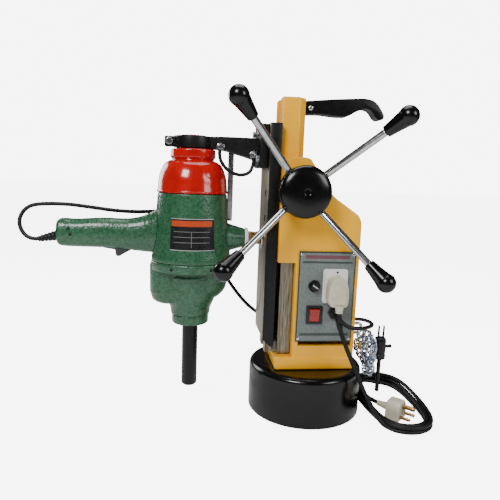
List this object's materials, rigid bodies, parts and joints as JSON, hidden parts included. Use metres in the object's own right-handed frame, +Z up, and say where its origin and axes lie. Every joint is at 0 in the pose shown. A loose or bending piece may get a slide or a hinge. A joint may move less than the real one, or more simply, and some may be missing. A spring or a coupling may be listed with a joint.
{
  "type": "magnetic drill press",
  "caption": "Magnetic drill press: round electromagnet base, yellow column with control panel and mains outlet, spoked feed wheel, rack-driven slide carrying an electric drill.",
  "frame": {"origin": "centre of the magnet's bottom face, on the work surface", "axes": "+Z up along the slide and the spindle; -X towards the drill, +X towards the carry handle; -Y towards the control panel and feed wheel"},
  "size_m": [0.6223, 0.2344, 0.478],
  "materials": {
    "yellow": "gloss",
    "gloss_black": "gloss",
    "black_paint": "satin",
    "green": "hammered gloss",
    "red": "gloss",
    "panel_grey": "hammered",
    "black_plastic": "satin",
    "grey_plastic": "satin",
    "white_plastic": "gloss",
    "cream_plastic": "satin",
    "red_lens": "gloss",
    "steel": "machined",
    "polished_steel": "polished",
    "dark_steel": "black oxide",
    "brass": "turned",
    "resin": "cast resin",
    "rubber": "matt"
  },
  "bodies": {
    "stand": {"magnet_pot": "gloss_black", "magnet_coil": "resin", "column_casting": "yellow", "dovetail_way": "steel", "control_panel": "panel_grey", "fuse_holder": "black_plastic", "switch_body": "black_plastic", "outlet_socket": "white_plastic", "cord_gland": "black_plastic", "rectifier": "black_plastic", "front_bush": "brass", "rear_bush": "brass", "carry_handle": "black_plastic", "chain_staple": "polished_steel", "safety_chain": "dark_steel", "chuck_key": "dark_steel", "mains_coil": "rubber", "mains_cord": "rubber", "mains_plug": "cream_plastic", "drill_plug": "cream_plastic", "drill_cord_lower": "rubber", "drill_cord_span": "rubber"},
    "drill_slide": {"slide": "black_paint", "rack": "steel", "gib_strip": "brass", "drill_arm": "black_paint", "clamp_bolt": "polished_steel", "brace_bar": "steel", "support_stud": "polished_steel", "support_spacer": "brass", "boss_washer": "polished_steel", "motor_cap": "red", "motor_housing": "green", "stator": "dark_steel", "gear_case": "green", "bearing_collar": "green", "bearing_plate": "steel", "upper_bearing": "polished_steel", "spindle_bearing": "polished_steel", "rear_handle": "green", "strain_relief": "rubber", "rating_plate": "dark_steel", "arm_lead": "rubber", "drill_cord_upper": "rubber"},
    "feed_wheel": {"pinion_shaft": "steel", "feed_hub": "gloss_black", "spoke_1": "polished_steel", "spoke_2": "polished_steel", "spoke_3": "polished_steel", "spoke_4": "polished_steel", "knob_1": "gloss_black", "knob_2": "gloss_black", "knob_3": "gloss_black", "knob_4": "gloss_black"},
    "spindle_body": {"spindle": "dark_steel"},
    "armature_body": {"armature": "steel"},
    "layshaft": {"intermediate_gear": "steel"},
    "trigger_body": {"trigger": "grey_plastic"},
    "rocker": {"power_rocker": "red_lens"},
    "fuse_cap_body": {"fuse_cap": "dark_steel"}
  },
  "joints": [
    {"name": "slide_travel", "type": "slide", "parent": "stand", "child": "drill_slide", "axis": [0, 0, 1], "range_m": [-0.03, 0.14], "deforming": ["drill_cord_span"]},
    {"name": "feed_turn", "type": "hinge", "parent": "stand", "child": "feed_wheel", "pos_m": [-0.031, 0, 0.34], "axis": [0, 1, 0], "range_deg": [-130, 580]},
    {"name": "spindle_turn", "type": "hinge", "parent": "drill_slide", "child": "spindle_body", "pos_m": [-0.1824, 0, 0.0365], "axis": [0, 0, 1], "continuous": true},
    {"name": "armature_turn", "type": "hinge", "parent": "drill_slide", "child": "armature_body", "pos_m": [-0.1824, 0, 0.3], "axis": [0, 0, 1], "continuous": true},
    {"name": "layshaft_turn", "type": "hinge", "parent": "drill_slide", "child": "layshaft", "pos_m": [-0.2124, 0, 0.2], "axis": [0, 0, 1], "continuous": true},
    {"name": "trigger_pull", "type": "slide", "parent": "drill_slide", "child": "trigger_body", "axis": [0, 0, 1], "range_m": [0, 0.005], "stiffness_N_per_m": 800},
    {"name": "rocker_tip", "type": "hinge", "parent": "stand", "child": "rocker", "pos_m": [-0.002, -0.0505, 0.161], "axis": [1, 0, 0], "range_deg": [-16, 0]},
    {"name": "fuse_cap_turn", "type": "hinge", "parent": "stand", "child": "fuse_cap_body", "pos_m": [-0.0039, -0.05, 0.204], "axis": [0, -1, 0], "range_deg": [-90, 0]}
  ],
  "couplings": [
    {"joint": "feed_turn", "follows": "slide_travel", "rad_per_m": 71.429},
    {"joint": "layshaft_turn", "follows": "spindle_turn", "ratio": -2.4286},
    {"joint": "armature_turn", "follows": "spindle_turn", "ratio": 7.2857}
  ]
}
